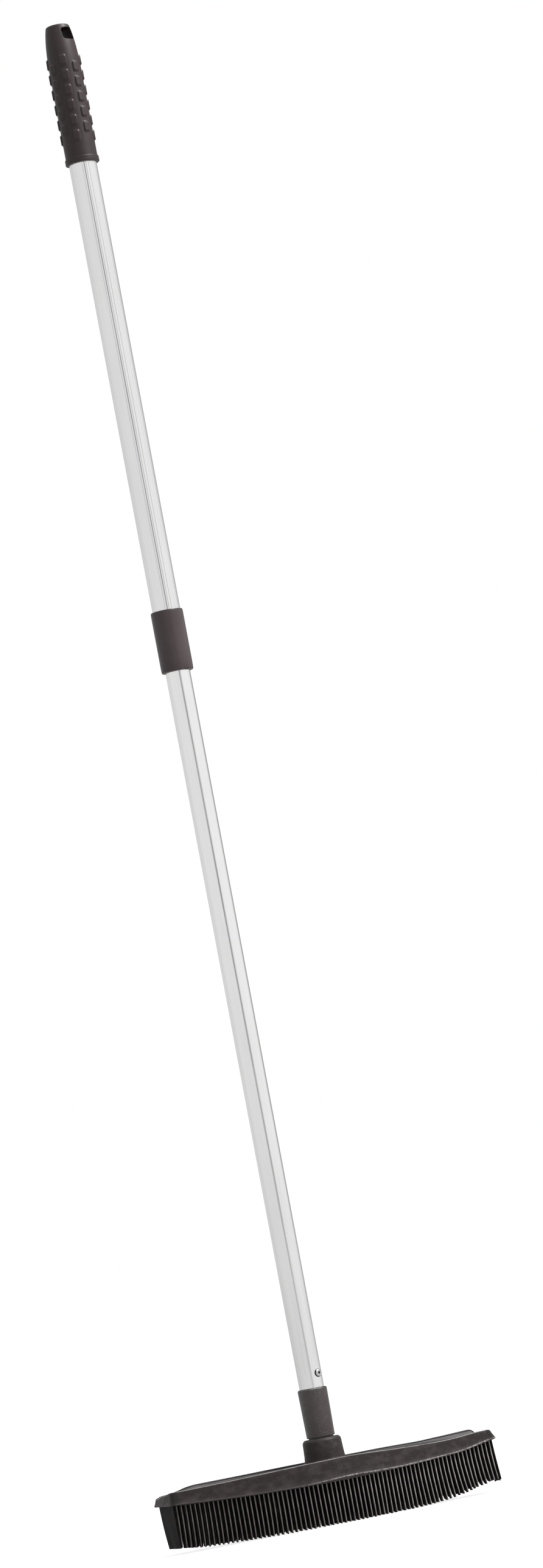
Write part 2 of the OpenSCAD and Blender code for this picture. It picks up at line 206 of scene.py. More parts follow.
def fillet(corners, radii, steps=5):
    """A polyline with each corner rounded: a quadratic arc between points radius back along
    both sides of the corner."""
    out = []
    for k, (p, r) in enumerate(zip(corners, radii)):
        p = np.array(p, float)
        if r <= 0 or k in (0, len(corners) - 1):
            out.append(p)
            continue
        before, after = np.array(corners[k - 1], float) - p, np.array(corners[k + 1], float) - p
        reach = min(r, 0.49 * np.linalg.norm(before), 0.49 * np.linalg.norm(after))
        a = p + before / np.linalg.norm(before) * reach
        b = p + after / np.linalg.norm(after) * reach
        t = np.linspace(0, 1, steps + 1)[:, None]
        out.extend((1 - t) ** 2 * a + 2 * t * (1 - t) * p + t ** 2 * b)
    return np.array(out)


def full_turn(sides):
    """Angles of the sides of a turned shape."""
    return np.arange(sides) / sides * TAU


def turn_from(turn, middle):
    """Angle between a turn and a middle one, with its sign, within half a turn either way."""
    return (turn - middle + np.pi) % TAU - np.pi


def axes_across_pole(turn):
    """Directions for what lies across the pole at a turn: outwards, sideways and up."""
    way = np.array([np.cos(turn), np.sin(turn), 0])
    return way, np.array([-way[1], way[0], 0]), np.array([0, 0, 1.0])


def lathe_points(profile, sides):
    """Rings of a profile of (radius, height) turned round Z."""
    turn = full_turn(sides)
    r, z = profile[:, 0][:, None], profile[:, 1][:, None]
    return np.stack([r * np.cos(turn), r * np.sin(turn), z + 0 * turn], axis=-1)


def lathe(name, profile, sides, closed=False):
    """A turned piece. A closed profile is a ring, an open one ends on the axis."""
    points = lathe_points(profile, sides)
    faces = grid_faces(len(profile), sides, wrap_rows=closed, wrap_cols=True)
    return build(name, points, faces)


# ---------------------------------------------------------------- shader maths
class Wire:
    """A shader socket that adds Math nodes when it is used in an expression."""

    def __init__(self, maker, socket):
        self.maker, self.socket = maker, socket

    def __add__(self, other): return self.maker.math("ADD", self, other)
    def __radd__(self, other): return self.maker.math("ADD", other, self)
    def __sub__(self, other): return self.maker.math("SUBTRACT", self, other)
    def __rsub__(self, other): return self.maker.math("SUBTRACT", other, self)
    def __mul__(self, other): return self.maker.math("MULTIPLY", self, other)
    def __rmul__(self, other): return self.maker.math("MULTIPLY", other, self)
    def __truediv__(self, other): return self.maker.math("DIVIDE", self, other)
    def __rtruediv__(self, other): return self.maker.math("DIVIDE", other, self)


class Graph:
    """A node tree, with a method for every node that is put into it."""

    def __init__(self, tree):
        self.tree = tree

    def node(self, kind, settings=None, inputs=None, out=0):
        """Adds a node, sets it up, fills its sockets and returns one of its outputs."""
        made = self.tree.nodes.new(kind)
        for key, value in (settings or {}).items():
            setattr(made, key, value)
        for key, value in (inputs or {}).items():
            self.join(value, made.inputs[key])
        return Wire(self, made.outputs[out])

    def join(self, value, socket):
        """Links a wire to a socket, or sets the socket to a plain value."""
        if isinstance(value, Wire):
            self.tree.links.new(value.socket, socket)
        else:
            socket.default_value = value

    def math(self, operation, *values):
        """One Math node."""
        return self.node("ShaderNodeMath", {"operation": operation}, dict(enumerate(values)))

    def place(self, stretch=(1, 1, 1)):
        """Object coordinates in millimetres, scaled along each axis."""
        spot = self.node("ShaderNodeTexCoord", out=3)
        scale = tuple(s / MM for s in stretch)
        return self.node("ShaderNodeVectorMath", {"operation": "MULTIPLY"}, {0: spot, 1: scale})

    def axes(self):
        """x, y and z in millimetres."""
        split = self.node("ShaderNodeSeparateXYZ", None, {0: self.place()})
        return [Wire(self, split.socket.node.outputs[k]) for k in range(3)]

    def noise(self, size, detail=3.0, stretch=(1, 1, 1), rough=0.55):
        """Noise from 0 to 1 whose features are about size millimetres across."""
        return self.node("ShaderNodeTexNoise", None, {
            "Vector": self.place(stretch), "Scale": 1 / size, "Detail": detail, "Roughness": rough})

    def step(self, value, low, high, start=0.0, end=1.0):
        """Smooth step of a value between low and high, from start to end."""
        return self.node("ShaderNodeMapRange", {"interpolation_type": "SMOOTHSTEP"}, {
            "Value": value, "From Min": low, "From Max": high, "To Min": start, "To Max": end})

    def mix(self, mask, a, b):
        """Colour a where mask is 0 and colour b where it is 1."""
        fill = [c if isinstance(c, Wire) else (*c, 1.0) for c in (a, b)]
        return self.node("ShaderNodeMix", {"data_type": "RGBA"},
                         {0: mask, 6: fill[0], 7: fill[1]}, out=2)

    def bump(self, height, depth_mm, strength):
        """Normal of a height from 0 to 1 that stands for depth_mm millimetres."""
        return self.node("ShaderNodeBump", None, {
            "Height": height, "Distance": depth_mm * MM, "Strength": strength})

    def rays(self):
        """Masks of the rays that see the white backdrop (camera or transmission) and of the
        glossy ones."""
        camera, glossy, through = (self.node("ShaderNodeLightPath", out=f"Is {kind} Ray")
                                   for kind in ("Camera", "Glossy", "Transmission"))
        return self.math("MAXIMUM", camera, through), glossy


class Finish(Graph):
    """A material on one Principled shader."""

    def __init__(self, name, metallic=0.0, roughness=0.5, specular=0.5):
        self.material = bpy.data.materials.new(name)
        self.material.use_nodes = True
        super().__init__(self.material.node_tree)
        self.shader = self.tree.nodes["Principled BSDF"]
        self.shader.inputs["Metallic"].default_value = metallic
        self.shader.inputs["Roughness"].default_value = roughness
        self.shader.inputs["Specular IOR Level"].default_value = specular

    def finish(self, color, roughness, normal):
        """Feeds the shader's sockets that vary and returns the material."""
        for key, value in (("Base Color", color), ("Roughness", roughness), ("Normal", normal)):
            if value is not None:
                self.join(value, self.shader.inputs[key])
        return self.material


def srgb(r, g, b):
    """Linear colour of an 8-bit sRGB one."""
    c = np.array([r, g, b]) / 255
    return tuple(np.where(c <= 0.04045, c / 12.92, ((c + 0.055) / 1.055) ** 2.4).tolist())


# ---------------------------------------------------------------- materials
def moulded_plastic(name, dark, light, roughness=0.45):
    """Satin moulded plastic: fine grain, faint flow clouds and scuffs that run round it."""
    f = Finish(name, roughness=roughness, specular=0.45)
    clouds = f.step(f.noise(22, 4), 0.35, 0.7)
    grain = f.noise(0.35, 2)
    scuffs = f.step(f.noise(3.2, 5, stretch=(1, 1, 0.35)), 0.6, 0.72)
    color = f.mix(clouds * 0.5 + scuffs * 0.25, dark, light)
    rough = f.step(grain + scuffs * 0.3, 0.2, 0.9, roughness - 0.06, roughness + 0.14)
    return f.finish(color, rough, f.bump(grain, 0.03, 0.5))


def spark_plastic():
    """Spark-eroded black plastic: coarse pits that glitter where light grazes them."""
    f = Finish("spark_textured_plastic", roughness=0.3, specular=0.8)
    pits = f.noise(0.9, 3, rough=0.65)
    fine = f.noise(0.4, 2)
    color = f.mix(f.step(f.noise(14, 3), 0.3, 0.7), srgb(43, 30, 29), srgb(55, 41, 41))
    height = pits + fine * 0.4
    rough = f.step(pits, 0.35, 0.65, 0.42, 0.24)
    return f.finish(color, rough, f.bump(height, 0.5, 0.9))


def drawn_aluminium(name, tint, roughness):
    """Satin anodised aluminium: hair lines along the tube and a faint cloudiness."""
    f = Finish(name, metallic=1.0, roughness=roughness)
    lines = f.noise(0.35, 2, stretch=(1, 1, 0.004))
    clouds = f.noise(30, 3, stretch=(1, 1, 0.3))
    shade = tuple(c * 0.93 for c in tint)
    color = f.mix(f.step(lines * 0.6 + clouds * 0.4, 0.35, 0.62), shade, tint)
    rough = f.step(lines, 0.3, 0.7, roughness - 0.03, roughness + 0.05)
    return f.finish(color, rough, f.bump(lines, 0.01, 0.35))


def head_rubber():
    """Matt rubber of the cover: dusty clouds on the band, a worn crest, a pale moulding flash
    above the rim and painted shade darkening the creases at the front corners."""
    f = Finish("cover_rubber", roughness=0.6, specular=0.3)
    x, y, z = f.axes()
    along = (x * x) / HEAD_HALF ** 2
    above_rim = z - (RIM_MID + along * RIM_RISE) - f.step(x, PULL_FROM, PULL_TO, 0, PULL_UP)
    dust = f.step(f.noise(11, 5, stretch=(1, 1, 1.6)), 0.42, 0.68)
    smears = f.step(f.noise(6, 6, rough=0.7), 0.52, 0.7) * f.step(x, -60, 90, 0.4, 1.0)
    base = f.mix(dust * 0.75, srgb(41, 34, 33), srgb(67, 61, 60))
    base = f.mix(smears * 0.35, base, srgb(92, 88, 88))
    wear_and_highlight = f.node("ShaderNodeAttribute", {"attribute_name": "tone"}, out=2)
    crest = wear_and_highlight * f.step(f.noise(9, 3, stretch=(1, 1, 0.2)), 0.3, 0.6, 0.45, 1.0)
    base = f.mix(crest * 0.9, base, srgb(165, 158, 156))
    off = (x - BEAD_AT) / BEAD_REACH
    climb = f.math("EXPONENT", off * off * -1) * BEAD_CLIMB + BEAD_LOW
    flash = (1 - f.step(f.math("ABSOLUTE", above_rim - climb), 0.35, 0.9)) * f.step(x, -60, 20)
    flash = flash * f.step(f.noise(2.2, 5, stretch=(1, 1, 1.5), rough=0.7), 0.4, 0.56)
    base = f.mix(flash * 0.8, base, srgb(170, 165, 163))
    specks = f.step(f.noise(1.1, 2), 0.7, 0.76) * 0.3
    base = f.mix(specks, base, srgb(118, 114, 112))
    side = f.math("ABSOLUTE", x)
    # painted shade: the creases of the front corners are darkened
    painted_shade = f.step(side, 142, 145) * (1 - f.step(side, 149.4, 150.2)) * (1 - f.step(y, -16, -8))
    base = f.mix(painted_shade * 0.75, base, srgb(28, 24, 23))
    rough = f.step(dust, 0, 1, 0.5, 0.68)
    height = f.noise(0.5, 3) + f.noise(4, 3) * 0.6 + flash * 0.8
    return f.finish(base, rough, f.bump(height, 0.12, 0.5))


def comb_rubber():
    """Rubber of the teeth: near black between them, with dusted, worn edges that a painted
    highlight brightens, painted stronger towards the right end.
    """
    f = Finish("comb_rubber", roughness=0.7, specular=0.1)
    x, _, z = f.axes()
    tone = f.node("ShaderNodeAttribute", {"attribute_name": "tone"}, out=2)
    edge_patches = f.step(f.noise(2.5, 4, stretch=(1, 1, 0.4)), 0.25, 0.7, 0.55, 1.0)
    # painted light: the edge colour is painted lighter towards the right end, the side the key lamp
    # lights
    edge = f.mix(f.step(x, -150, 110), srgb(128, 123, 120), srgb(176, 170, 168))
    base = f.mix(f.step(f.noise(3, 4), 0.4, 0.7), srgb(15, 12, 11), srgb(28, 24, 23))
    base = f.mix(f.step(z, 9, 1) * f.step(f.noise(1.6, 4), 0.4, 0.65) * 0.6, base, srgb(92, 88, 86))
    # dusted, worn edges with a painted highlight, where the tone attribute is set
    color = f.mix(tone * edge_patches, base, edge)
    return f.finish(color, None, f.bump(f.noise(0.6, 3), 0.08, 0.5))


def blade_rubber():
    """Smooth rubber of the squeegee lip, with a painted highlight greying its top."""
    f = Finish("blade_rubber", roughness=0.5, specular=0.45)
    tone = f.node("ShaderNodeAttribute", {"attribute_name": "tone"}, out=2)
    clouds = f.step(f.noise(9, 4), 0.35, 0.7)
    base = f.mix(clouds * 0.6, srgb(30, 23, 23), srgb(42, 34, 35))
    # painted highlight: the top of the lip is painted grey where tone is set
    color = f.mix(tone * f.step(f.noise(3, 3), 0.2, 0.7, 0.6, 1.0), base, srgb(104, 100, 100))
    return f.finish(color, None, f.bump(f.noise(0.7, 3), 0.05, 0.5))


def plain_metal(name, tint, roughness, size=1.5):
    """Small steel or aluminium part: tumbled, with a fine mottle and painted shade where tone is
    set.
    """
    f = Finish(name, metallic=1.0, roughness=roughness)
    mottle = f.noise(size, 4)
    color = f.mix(f.step(mottle, 0.35, 0.65), tuple(c * 0.8 for c in tint), tint)
    # painted shade, where the tone attribute is set; only the rivet has it
    painted_shade = f.node("ShaderNodeAttribute", {"attribute_name": "tone"}, out=2)
    color = f.mix(painted_shade, color, srgb(52, 48, 48))
    rough = f.step(mottle, 0.3, 0.7, roughness, roughness + 0.12)
    return f.finish(color, rough, f.bump(mottle, 0.03, 0.5))


GRIP_PLASTIC = moulded_plastic("grip_plastic", srgb(38, 25, 26), srgb(47, 33, 34))
COLLAR_PLASTIC = moulded_plastic("collar_plastic", srgb(66, 55, 57), srgb(78, 67, 69),
                                 roughness=0.36)
CORE_PLASTIC = moulded_plastic("core_plastic", srgb(36, 34, 35), srgb(46, 44, 45))
BUSH_PLASTIC = moulded_plastic("bush_plastic", srgb(200, 198, 190), srgb(216, 214, 208))
LOCK_PLASTIC = moulded_plastic("lock_plastic", srgb(206, 204, 198), srgb(222, 220, 214))
RING_PLASTIC = moulded_plastic("ring_plastic", srgb(60, 96, 140), srgb(74, 112, 158))
SPARK_PLASTIC = spark_plastic()
FLUTED_METAL = drawn_aluminium("fluted_aluminium", srgb(240, 239, 239), 0.13)
SMOOTH_METAL = drawn_aluminium("smooth_aluminium", srgb(247, 246, 246), 0.17)
RIVET_METAL = plain_metal("rivet_metal", srgb(205, 205, 206), 0.3)
MANDREL_METAL = plain_metal("mandrel_steel", srgb(120, 118, 118), 0.4, 0.6)
WASHER_METAL = plain_metal("washer_steel", srgb(198, 196, 190), 0.3)
COVER_RUBBER = head_rubber()
COMB_RUBBER = comb_rubber()
BLADE_RUBBER = blade_rubber()


# ---------------------------------------------------------------- pole
def make_outer_tube():
    """Extruded tube: its radius dips by flute_depth in each of 30 narrow flutes, as a raised
    cosine to the power 5 does."""
    flutes, flute_depth = 30, 0.15
    sides = flutes * 14
    turn = full_turn(sides)
    dip = flute_depth * (0.5 + 0.5 * np.cos(flutes * turn)) ** 5
    outer = OUTER_R - dip
    low, high = outer_low[2], outer_high[2]
    ease, hold = 0.15, 1.0   # eased edge, and the ring that keeps its shading off the long faces
    bore = 0 * outer + OUTER_R - OUTER_WALL
    rings = [(outer - ease, low), (outer, low + ease), (outer, low + hold), (outer, high - hold),
             (outer, high - ease), (outer - ease, high), (bore, high), (bore, low)]
    points = [np.stack([r * np.cos(turn), r * np.sin(turn), 0 * r + z], -1) for r, z in rings]
    piece = build("fluted_tube", points, grid_faces(len(rings), sides, True, True), sharp_deg=50)
    fit(piece, "upper_pole", "fluted_aluminium", FLUTED_METAL, "outer_tube")


def make_inner_tube():
    """Plain tube, its ends eased by 0.2 mm."""
    ease = 0.2
    low, high = inner_low[2], inner_high[2]
    profile = np.array([(INNER_R - ease, low), (INNER_R, low + ease), (INNER_R, high - ease),
                        (INNER_R - ease, high), (INNER_R - INNER_WALL, high),
                        (INNER_R - INNER_WALL, low)])
    piece = lathe("smooth_tube", profile, 160, closed=True)
    fit(piece, "broom", "smooth_aluminium", SMOOTH_METAL, "inner_tube")


def make_collar():
    """Moulded sleeve with rounded edges; its mouth has one shallow notch."""
    r, low, high = collar_high[0], collar_low[2], collar_high[2]
    bore, lip, slide_gap = OUTER_R + SEAT_GAP, 3.0, 0.3
    mouth = INNER_R + slide_gap
    profile = fillet([(mouth, low + lip), (mouth, low), (r - 0.15, low), (r, low + 6),
                      (r, high - 3), (r - 0.1, high), (bore, high), (bore, low + lip),
                      (mouth, low + lip)],
                     [0, 0.5, 1.6, 1, 1, 1.3, 0.4, 0, 0])[:-1]
    sides = 160
    points = lathe_points(profile, sides)
    turn = full_turn(sides)
    notch_at, notch_half, notch_deep = np.radians(-75), 0.19, 1.0
    off = np.abs(turn_from(turn, notch_at))
    dent = notch_deep * (1 - smooth(off, notch_half, notch_half + 0.06))
    outer = (profile[:, 0] > mouth + 1.4)[:, None]
    points[..., 2] += outer * np.clip(1 - (points[..., 2] - low) / 2.0, 0, 1) * dent
    piece = build("pole_collar", points, grid_faces(len(profile), sides, True, True))
    fit(piece, "upper_pole", "collar_plastic", COLLAR_PLASTIC, "collar")


def make_adapter():
    """Turned plug, textured sleeve and threaded stub in one moulding; the sleeve thins a
    little towards the head and its top edge is chamfered."""
    low, boss, top, plug = adapter_low[2], BOSS_TOP, SLEEVE_TOP, adapter_high[2]
    sleeve, neck, root, crest, pitch = adapter_high[0], 11.0, 9.0, 10.2, 4.0
    corners, radii = [(0, low), (root, low)], [0, 0.4]
    for k in range(4, 0, -1):
        z = boss - pitch * k
        corners += [(root, z - 1.6), (crest, z - 0.5), (crest, z + 0.5), (root, z + 1.6)]
        radii += [0.2] * 4
    bore = INNER_R - INNER_WALL
    corners += [(root, boss), (neck, boss), (neck, boss + 1.1), (sleeve - 0.5, boss + 1.1),
                (sleeve, top - 1.1), (sleeve - 1.0, top), (bore, top), (bore, plug), (0, plug)]
    radii += [0, 0, 0, 0.5, 0.6, 0.5, 0, 0.8, 0]
    piece = lathe("threaded_sleeve", fillet(corners, radii), 144)
    fit(piece, "broom", "adapter_plastic", SPARK_PLASTIC, "thread_adapter")


def make_rivet():
    """Domed blind rivet, turned round its own axis and then laid along the pole's radius."""
    profile = fillet([(0, -6.0), (2.0, -6.0), (2.0, -0.8), (3.7, -0.8), (3.7, 0.5), (2.7, 1.5),
                      (1.35, 1.65), (1.15, 0.9), (0, 0.8)],
                     [0, 0.3, 0, 0, 0.5, 0.6, 0.35, 0.2, 0], steps=4)
    sides = 48
    points = lathe_points(profile, sides)
    middle = (mandrel_low + mandrel_high) / 2
    way, side, up = axes_across_pole(np.arctan2(middle[1], middle[0]))
    local = points[..., 0:1] * side + points[..., 1:2] * up + (points[..., 2:3] + INNER_R) * way
    reach = profile[:, 0][:, None] + 0 * points[..., 0]
    # painted shade: a dark ring round the flange's rim, where it casts its shadow, and a dark
    # hollow in the head
    painted_shade = smooth(reach, 3.2, 3.5) + (1 - smooth(reach, 1.1, 1.4))
    faces = grid_faces(len(profile), sides, False, True)
    piece = build("blind_rivet", local + up * middle[2], faces, painted_shade)
    fit(piece, "broom", "rivet_metal", RIVET_METAL, "rivet")


def make_grip():
    """Moulded grip: a turned body whose outer skin rises by pad_proud over rounded oblong
    pads, long and short columns of them alternating, cut through by the hanging hole."""
    low, high = grip_low[2], grip_high[2]
    seat, r = OUTER_R + SEAT_GAP, OUTER_R + 1.9
    rim, rim_h, ring_step = r + 0.9, 5.0, 0.55
    tube_end = outer_high[2]
    columns, pad_turn, pad_rows = 8, np.radians(70), 6
    pad_l, pad_w, pad_pitch, pad_start, pad_proud = 9.2, 6.0, 13.9, 29.0, 1.25
    bore = [(0, tube_end), (seat, tube_end), (seat, low)]
    outer = fillet([(seat, low), (rim, low), (rim, low + rim_h), (r, low + rim_h),
                    (r, high - 45), (r, high - 33), (r - 0.9, high - 18), (r - 2.4, high - 7),
                    (r - 3.9, high), (r - 8, high + 0.3), (0, high + 0.4)],
                   [0, 0.9, 1.2, 0.5, 0, 6, 6, 4, 1.8, 3, 0], steps=6)
    fine = [outer[0]]
    for a, b in zip(outer[:-1], outer[1:]):
        n = max(1, int(np.ceil(abs(b[1] - a[1]) / ring_step)))
        fine.extend(a + (b - a) * (k + 1) / n for k in range(n))
    skin = np.array(fine)
    profile = np.vstack([bore[:-1], skin])
    sides = 248
    points = lathe_points(profile, sides)
    turn = full_turn(sides)
    z = profile[:, 1]
    lift = np.zeros(points.shape[:2])
    for c in range(columns):
        middle = pad_turn + c * TAU / columns
        around = turn_from(turn, middle) * r / (pad_w / 2)
        for k in range(pad_rows - c % 2):
            centre = high - pad_start - pad_l / 2 - (k + (c % 2) / 2) * pad_pitch
            along = (z - centre) / (pad_l / 2)
            reach = (np.abs(around)[None, :] ** 5 + np.abs(along)[:, None] ** 5) ** 0.2
            lift = np.maximum(lift, pad_proud * (1 - smooth(reach, 0.82, 1.12)))
    lift[:2] = 0
    out = np.stack([np.cos(turn), np.sin(turn), 0 * turn], -1)
    points = points + lift[..., None] * out[None]
    piece = build("hand_grip", points, grid_faces(len(profile), sides, False, True), sharp_deg=60)
    cut_hanging_hole(piece, high - HOLE_LAND - HOLE_HALF_H)
    fit(piece, "upper_pole", "grip_plastic", GRIP_PLASTIC, "grip")


def cut_hanging_hole(piece, height):
    """Takes a squarish bar out of the grip, across the pole. Its section is a superellipse:
    cosine and sine raised to the power 0.45, with their signs kept."""
    reach, power, sides = 30.0, 0.45, 64
    turn = full_turn(sides)
    u = HOLE_HALF_W * np.sign(np.cos(turn)) * np.abs(np.cos(turn)) ** power
    v = HOLE_HALF_H * np.sign(np.sin(turn)) * np.abs(np.sin(turn)) ** power
    spread = np.array([0, 1, 1, 0])[:, None]
    along = np.array([-reach, -reach, reach, reach])[:, None, None]
    way, side, up = axes_across_pole(HOLE_TURN)
    bar = (u * spread)[..., None] * side + (v * spread)[..., None] * up + along * way + up * height
    cutter = build("hole_cutter", bar, grid_faces(len(spread), sides, False, True))
    cut = piece.modifiers.new("hanging_hole", "BOOLEAN")
    cut.operation, cut.solver, cut.object = "DIFFERENCE", "EXACT", cutter
    bake_modifiers(piece)
    bpy.data.objects.remove(cutter)
    piece.data.set_sharp_from_angle(angle=np.radians(48))


def bake_modifiers(piece):
    """Replaces a piece's mesh by the result of its modifiers."""
    depsgraph = bpy.context.evaluated_depsgraph_get()
    mesh = bpy.data.meshes.new_from_object(piece.evaluated_get(depsgraph))
    piece.modifiers.clear()
    piece.data = mesh


# ---------------------------------------------------------------- head
def plan_point(a, b, d):
    """Plan of the head at a (-1 left to 1 right) and b (0 front to 1 back), drawn in by d.
    Each line of constant b is shortened near the front and back so that the corners are arcs."""
    y0 = front_y(a * FRONT_HALF) + d
    y1 = HEAD_BACK - d
    y = y0 + b * (y1 - y0)
    half = FRONT_HALF + (HEAD_HALF - FRONT_HALF) * b - d
    r = max(CORNER_R - d, 0.8)
    near = np.clip(np.minimum(y - y0, y1 - y), 0, r)
    cut = r - np.sqrt(np.clip(r * r - (r - near) ** 2, 0, None))
    return a * (half - cut), y


def plan_lines():
    """Values of a, evenly spaced, and of b, closer together near the front and the back."""
    return np.linspace(-1, 1, ALONG), 0.5 - 0.5 * np.cos(np.linspace(0, np.pi, ACROSS))


def head_loop(d):
    """The plan's outline drawn in by d, as one closed loop of points."""
    a, b = plan_lines()
    side = np.ones(ACROSS - 2)
    aa = np.concatenate([a, side, a[::-1], -side])
    bb = np.concatenate([0 * a, b[1:-1], 0 * a + 1, b[::-1][1:-1]])
    return plan_point(aa, bb, d)


def deck(d, height):
    """A grid over the plan drawn in by d, with its height as a function of x and y."""
    aa, bb = np.meshgrid(*plan_lines(), indexing="ij")
    x, y = plan_point(aa, bb, d)
    return np.stack([x, y, height(x, y)], -1)


def deck_height(x, y):
    """Top of the cover: a raised border, a shallow tray and a fillet swelling up to the boss."""
    tray_deep, border_in, border_out = 1.2, 2.4, 4.2
    swell_up, swell_in, swell_out = 3.6, 15.5, 22.0
    border = np.minimum(np.minimum(y - front_y(x), HEAD_BACK - y), FRONT_HALF - np.abs(x))
    tray = tray_deep * smooth(border, border_in, border_out)
    swell = swell_up * (1 - smooth(np.hypot(x, y), swell_in, swell_out)) ** 2
    return edge_z(x, y) - tray + swell


def flared(x, share):
    """x of the cover's side moved outwards at the ends, most at the rim (share 1)."""
    right = FLARE_RIGHT * smooth(x, FLARE_FROM_RIGHT, FLARE_TO)
    left = FLARE_LEFT * smooth(-x, FLARE_FROM_LEFT, FLARE_TO)
    return x + share * (right - left)


def bead_up(x):
    """Height of the moulding flash above the rim: it climbs the band right of the middle."""
    return BEAD_LOW + BEAD_CLIMB * np.exp(-((x - BEAD_AT) / BEAD_REACH) ** 2)


def boss_profile():
    """Closed (radius, height) outline of the boss: a flared foot, a taper and a rounded top."""
    foot, top_r, bore = 17.5, 16.8, 13.55
    low, high = DECK_MID - 5, BOSS_TOP + 0.1
    return fillet([(bore, low), (foot + 1.6, low), (foot + 0.2, DECK_MID + 1.6),
                   (top_r + 0.3, BOSS_TOP - 2), (top_r - 1.6, high), (bore, high), (bore, low)],
                  [0, 0.5, 4.0, 2.4, 2.0, 0.3, 0])[:-1]


def make_cover():
    """Rubber cover: a deck, rings that round the crest, run down the band past the moulding
    flash to the rim and turn in under it, a floor above the strips, and the flared boss."""
    ease, bulge, over_bead, floor_up = 1.0, 0.4, 1.0, RIM_LIP + 0.3
    rings = []
    for turn in np.radians([0, 22.5, 45, 67.5, 90]):
        rings.append((ease - ease * np.sin(turn), 0,
                      lambda x, y, t=turn: edge_z(x, y) - ease * (1 - np.cos(t))))
    for share in (0.25, 0.5, 0.75):
        rings.append((-bulge * share, share, lambda x, y, k=share: (edge_z(x, y) - ease) * (1 - k)
                      + (rim_z(x) + bead_up(x) + over_bead) * k))
    # drawn in, height above the rim, share of the flash's height
    for d, up, flash in ((-0.45, 0.8, 1), (-0.8, 0.35, 1), (-1.0, 0.1, 1), (-0.75, -0.25, 1),
                         (-0.5, 0.5, 0.3), (-0.45, 0.25, 0), (-0.2, 0.0, 0), (1.6, 0.0, 0),
                         (2.2, 0.3, 0), (2.4, 1.0, 0), (2.5, floor_up, 0)):
        rings.append((d, 1, lambda x, y, u=up, w=flash: rim_z(x) + u + w * bead_up(x)))
    top = deck(rings[0][0], deck_height)
    for line in (np.s_[:, 0], np.s_[:, -1], np.s_[0, :], np.s_[-1, :]):
        border = top[line]
        border[:, 2] = edge_z(border[:, 0], border[:, 1])
    floor = deck(rings[-1][0], lambda x, y: rim_z(x) + floor_up)
    floor[..., 0] = flared(floor[..., 0], 1)
    loops = []
    for d, share, height in rings:
        x, y = head_loop(d)
        loops.append(np.stack([flared(x, share), y, height(x, y)], -1))
    wear_and_highlight = np.zeros((len(loops), len(loops[0])))
    wear_and_highlight[1:3] = 1
    points, faces, tone, start = [], [], [], 0
    for sheet in (top, floor):
        points.append(sheet.reshape(-1, 3))
        tone.append(np.zeros(len(points[-1])))
        faces.append(grid_faces(*sheet.shape[:2], start=start))
        start += len(points[-1])
    points.append(np.array(loops).reshape(-1, 3))
    faces.append(grid_faces(len(loops), len(loops[0]), False, True, start=start))
    tone.append(wear_and_highlight.ravel())
    start += len(loops) * len(loops[0])
    boss = boss_profile()
    sides = 128
    points.append(lathe_points(boss, sides).reshape(-1, 3))
    faces.append(grid_faces(len(boss), sides, True, True, start=start))
    tone.append(np.zeros(len(boss) * sides))
    piece = build("rubber_cover", np.vstack(points), np.vstack(faces), np.concatenate(tone), 42)
    fit(piece, "broom", "cover_rubber", COVER_RUBBER, "head_cover")


def close_ends(points):
    """A carried section with its first and last ring drawn together to their middle points."""
    first, last = (end.mean(1, keepdims=True) + 0 * end for end in (points[:1], points[-1:]))
    return np.concatenate([first, points, last])


def make_lip():
    """Squeegee lip: a section that thins upwards to a small bead, carried along the back of
    the head, waving a little and rounded off at both ends."""
    stations, end_round = 240, 7
    half = lip_high[0] + 1.0
    x = np.linspace(-half, half, stations)
    root_y, root_z = lip_low[1] + 3.6, 49.0
    wave = 0.22 * np.sin(x / 9.1) + 0.15 * np.sin(x / 4.3 + 1)
    tip = 0.08 * wave + eased(x, [-149, -134, -128, -119, -90, 0, 60, 95, 120, 149],
                              [51.5, 52.2, 54.0, 56.0, 56.0, 56.2, 56.0, 55.3, 55.9, 56.9])
    end = np.clip((np.abs(x) - (half - end_round)) / end_round, 0, 1)
    height = (tip - root_z) * np.sqrt(np.clip(1 - end ** 2.4, 0.0, 1)) + 0.05
    lean = np.tan(np.radians(20))
    section = np.array([  # across, share of the height, tone of the painted highlight along the top
        (-2.0, 0.0, 0), (-2.0, 0.45, 0), (-1.3, 0.7, 0), (-0.95, 0.80, 0), (-1.35, 0.88, 0.3),
        (-1.45, 0.94, 0.8), (-1.0, 0.99, 1), (0.0, 1.0, 1), (1.0, 0.99, 1), (1.45, 0.94, 0.7),
        (1.2, 0.86, 0.2), (0.95, 0.78, 0), (1.4, 0.6, 0), (2.0, 0.45, 0), (2.0, 0.0, 0)])
    share = section[:, 1][None, :]
    z = root_z + height[:, None] * share
    thick = np.where(share > 0.5, 0.75, 1.0)
    y = root_y + section[:, 0][None, :] * thick + (z - root_z) * lean + wave[:, None] * share ** 2
    points = np.stack([np.broadcast_to(x[:, None], z.shape), y, z], -1)
    points = close_ends(points)
    tone = np.broadcast_to(section[:, 2][None, :], points.shape[:2])
    piece = build("squeegee_lip", points, grid_faces(stations + 2, len(section), False, True), tone)
    fit(piece, "broom", "blade_rubber", BLADE_RUBBER, "squeegee_blade")


def row_y(k, x):
    """y of comb strip k: the bow of the front, fading to straight at the back."""
    near = front_y(x) + ROW_FRONT_GAP
    return near + (ROW_BACK - near) * (k - 1) / (ROWS - 1)


TOOTH_SECTION = np.array([  # across, deep, tone of the worn edge with its painted highlight
    (-0.4, -0.5, 1), (0.4, -0.5, 1), (0.5, -0.42, 0.1), (0.5, 0.42, 0.1),
    (0.4, 0.5, 1), (-0.4, 0.5, 1), (-0.5, 0.42, 0.1), (-0.5, -0.42, 0.1)])


